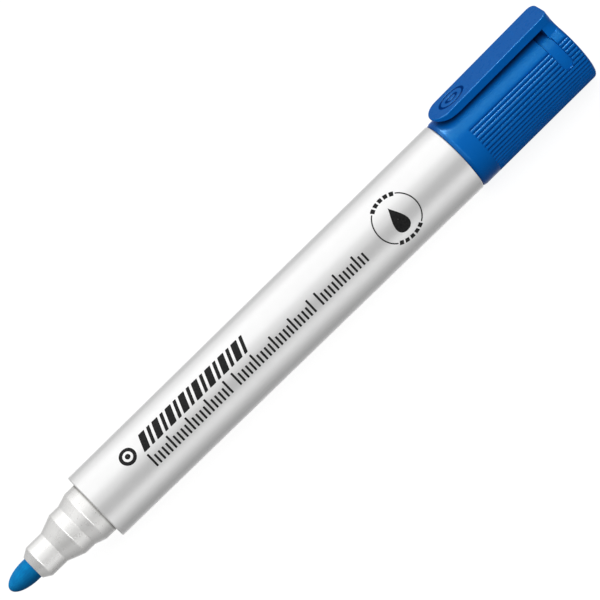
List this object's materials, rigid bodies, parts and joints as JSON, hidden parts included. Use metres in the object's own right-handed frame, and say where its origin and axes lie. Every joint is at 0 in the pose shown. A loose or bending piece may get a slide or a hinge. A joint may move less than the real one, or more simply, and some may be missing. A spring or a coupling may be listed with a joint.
{
  "type": "whiteboard marker",
  "caption": "Bullet-tip dry-wipe marker with a tapered barrel, stepped nose and ribbed cap with pocket clip, cap pushed onto the rear end.",
  "frame": {"origin": "on the marker's axis at the barrel's front shoulder, where the cap's rim stops when the marker is closed", "axes": "+X along the axis from the writing tip to the cap's closed end, +Z through the pocket clip"},
  "size_m": [0.1483, 0.0158, 0.0185],
  "materials": {
    "barrel_plastic": "satin white polypropylene",
    "nose_plastic": "natural off-white polypropylene",
    "nib_fibre": "ink-soaked bonded fibre",
    "reservoir_fibre": "ink-soaked fibre",
    "film": "clear film",
    "cap_plastic": "satin blue polypropylene",
    "print_ink": "printed black ink",
    "liner_plastic": "natural polypropylene"
  },
  "bodies": {
    "marker_body": {"barrel": "barrel_plastic", "nose_cone": "nose_plastic", "nib": "nib_fibre", "ink_reservoir": "reservoir_fibre", "reservoir_film": "film", "rear_plug": "cap_plastic"},
    "cap_inner": {"cap_liner": "liner_plastic"},
    "cap_outer": {"cap_shell": "cap_plastic"}
  },
  "joints": [
    {"name": "cap_slide", "type": "slide", "parent": "marker_body", "child": "cap_inner", "axis": [1, 0, 0], "range_m": [0, 0.03]},
    {"name": "cap_turn", "type": "hinge", "parent": "cap_inner", "child": "cap_outer", "pos_m": [0.1, 0, 0], "axis": [1, 0, 0], "continuous": true}
  ]
}
